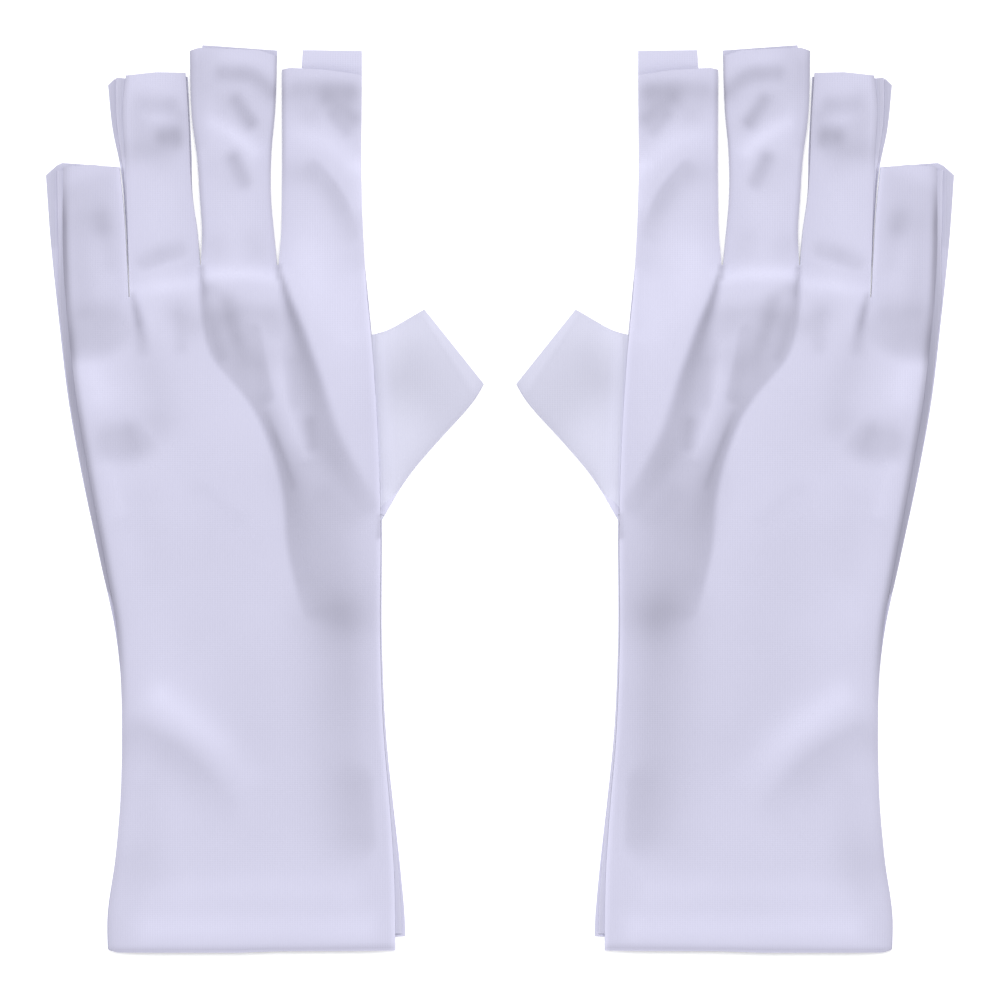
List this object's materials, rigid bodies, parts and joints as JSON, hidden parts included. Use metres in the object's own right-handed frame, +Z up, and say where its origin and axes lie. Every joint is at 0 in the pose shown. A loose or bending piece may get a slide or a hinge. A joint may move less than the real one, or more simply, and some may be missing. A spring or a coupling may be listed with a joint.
{
  "type": "fingerless gloves",
  "caption": "Thin stretch-fabric fingerless gloves with long cuffs, laid flat as a pair; finger, thumb and cuff sleeves fold up at their roots.",
  "frame": {"origin": "on the table under the middle of the pair's outline, where the gloves lie relaxed", "axes": "+Z up, away from the table; +Y from the cuffs towards the fingertips; +X from the left glove towards the right glove, whose thumbs face each other"},
  "size_m": [0.2394, 0.2401, 0.0062],
  "materials": {
    "back_cloth": "matte",
    "palm_cloth": "matte",
    "strip_cloth": "matte",
    "thumb_cloth": "matte"
  },
  "bodies": {
    "left_hand": {"left_hand_back_panel": "back_cloth", "left_hand_palm_panel": "palm_cloth", "left_hand_outer_side_strip": "strip_cloth", "left_hand_index_side_strip": "strip_cloth", "left_hand_thumb_side_strip": "strip_cloth", "left_crotch_strip_index_middle": "strip_cloth", "left_crotch_strip_middle_ring": "strip_cloth", "left_crotch_strip_ring_little": "strip_cloth"},
    "left_cuff": {"left_cuff_back_panel": "back_cloth", "left_cuff_palm_panel": "palm_cloth", "left_cuff_outer_side_strip": "strip_cloth", "left_cuff_thumb_side_strip": "strip_cloth"},
    "left_index_finger": {"left_index_back_panel": "back_cloth", "left_index_palm_panel": "palm_cloth", "left_index_thumb_side_strip": "strip_cloth", "left_index_little_side_strip": "strip_cloth"},
    "left_middle_finger": {"left_middle_back_panel": "back_cloth", "left_middle_palm_panel": "palm_cloth", "left_middle_thumb_side_strip": "strip_cloth", "left_middle_little_side_strip": "strip_cloth"},
    "left_ring_finger": {"left_ring_back_panel": "back_cloth", "left_ring_palm_panel": "palm_cloth", "left_ring_thumb_side_strip": "strip_cloth", "left_ring_little_side_strip": "strip_cloth"},
    "left_little_finger": {"left_little_back_panel": "back_cloth", "left_little_palm_panel": "palm_cloth", "left_little_thumb_side_strip": "strip_cloth", "left_little_little_side_strip": "strip_cloth"},
    "left_thumb": {"left_thumb_sleeve": "thumb_cloth", "left_thumb_lower_side_strip": "strip_cloth"},
    "right_hand": {"right_hand_back_panel": "back_cloth", "right_hand_palm_panel": "palm_cloth", "right_hand_outer_side_strip": "strip_cloth", "right_hand_index_side_strip": "strip_cloth", "right_hand_thumb_side_strip": "strip_cloth", "right_crotch_strip_index_middle": "strip_cloth", "right_crotch_strip_middle_ring": "strip_cloth", "right_crotch_strip_ring_little": "strip_cloth"},
    "right_cuff": {"right_cuff_back_panel": "back_cloth", "right_cuff_palm_panel": "palm_cloth", "right_cuff_outer_side_strip": "strip_cloth", "right_cuff_thumb_side_strip": "strip_cloth"},
    "right_index_finger": {"right_index_back_panel": "back_cloth", "right_index_palm_panel": "palm_cloth", "right_index_thumb_side_strip": "strip_cloth", "right_index_little_side_strip": "strip_cloth"},
    "right_middle_finger": {"right_middle_back_panel": "back_cloth", "right_middle_palm_panel": "palm_cloth", "right_middle_thumb_side_strip": "strip_cloth", "right_middle_little_side_strip": "strip_cloth"},
    "right_ring_finger": {"right_ring_back_panel": "back_cloth", "right_ring_palm_panel": "palm_cloth", "right_ring_thumb_side_strip": "strip_cloth", "right_ring_little_side_strip": "strip_cloth"},
    "right_little_finger": {"right_little_back_panel": "back_cloth", "right_little_palm_panel": "palm_cloth", "right_little_thumb_side_strip": "strip_cloth", "right_little_little_side_strip": "strip_cloth"},
    "right_thumb": {"right_thumb_sleeve": "thumb_cloth", "right_thumb_lower_side_strip": "strip_cloth"}
  },
  "joints": [
    {"name": "left_cuff_fold", "type": "hinge", "parent": "left_hand", "child": "left_cuff", "pos_m": [-0.06615, -0.0375, 0.0062], "axis": [-1, 0, 0], "range_deg": [0, 150]},
    {"name": "left_index_fold", "type": "hinge", "parent": "left_hand", "child": "left_index_finger", "pos_m": [-0.04715, 0.0678, 0.0062], "axis": [1, 0, 0], "range_deg": [0, 150]},
    {"name": "left_middle_fold", "type": "hinge", "parent": "left_hand", "child": "left_middle_finger", "pos_m": [-0.06922, 0.0678, 0.0062], "axis": [1, 0, 0], "range_deg": [0, 150]},
    {"name": "left_ring_fold", "type": "hinge", "parent": "left_hand", "child": "left_ring_finger", "pos_m": [-0.08931, 0.0678, 0.0062], "axis": [1, 0, 0], "range_deg": [0, 150]},
    {"name": "left_little_fold", "type": "hinge", "parent": "left_hand", "child": "left_little_finger", "pos_m": [-0.10819, 0.0593, 0.0062], "axis": [1, 0, 0], "range_deg": [0, 150]},
    {"name": "left_thumb_fold", "type": "hinge", "parent": "left_hand", "child": "left_thumb", "pos_m": [-0.03022, 0.0211, 0.0062], "axis": [0.055, -0.9985, 0], "range_deg": [0, 90]},
    {"name": "right_cuff_fold", "type": "hinge", "parent": "right_hand", "child": "right_cuff", "pos_m": [0.06615, -0.0375, 0.0062], "axis": [-1, 0, 0], "range_deg": [0, 150]},
    {"name": "right_index_fold", "type": "hinge", "parent": "right_hand", "child": "right_index_finger", "pos_m": [0.04715, 0.0678, 0.0062], "axis": [1, 0, 0], "range_deg": [0, 150]},
    {"name": "right_middle_fold", "type": "hinge", "parent": "right_hand", "child": "right_middle_finger", "pos_m": [0.06922, 0.0678, 0.0062], "axis": [1, 0, 0], "range_deg": [0, 150]},
    {"name": "right_ring_fold", "type": "hinge", "parent": "right_hand", "child": "right_ring_finger", "pos_m": [0.08931, 0.0678, 0.0062], "axis": [1, 0, 0], "range_deg": [0, 150]},
    {"name": "right_little_fold", "type": "hinge", "parent": "right_hand", "child": "right_little_finger", "pos_m": [0.10819, 0.0593, 0.0062], "axis": [1, 0, 0], "range_deg": [0, 150]},
    {"name": "right_thumb_fold", "type": "hinge", "parent": "right_hand", "child": "right_thumb", "pos_m": [0.03022, 0.0211, 0.0062], "axis": [0.055, 0.9985, 0], "range_deg": [0, 90]},
    {"name": "right_glove_slide", "type": "slide", "parent": "left_hand", "child": "right_hand", "axis": [1, 0, 0], "range_m": [0, 0.12]}
  ]
}
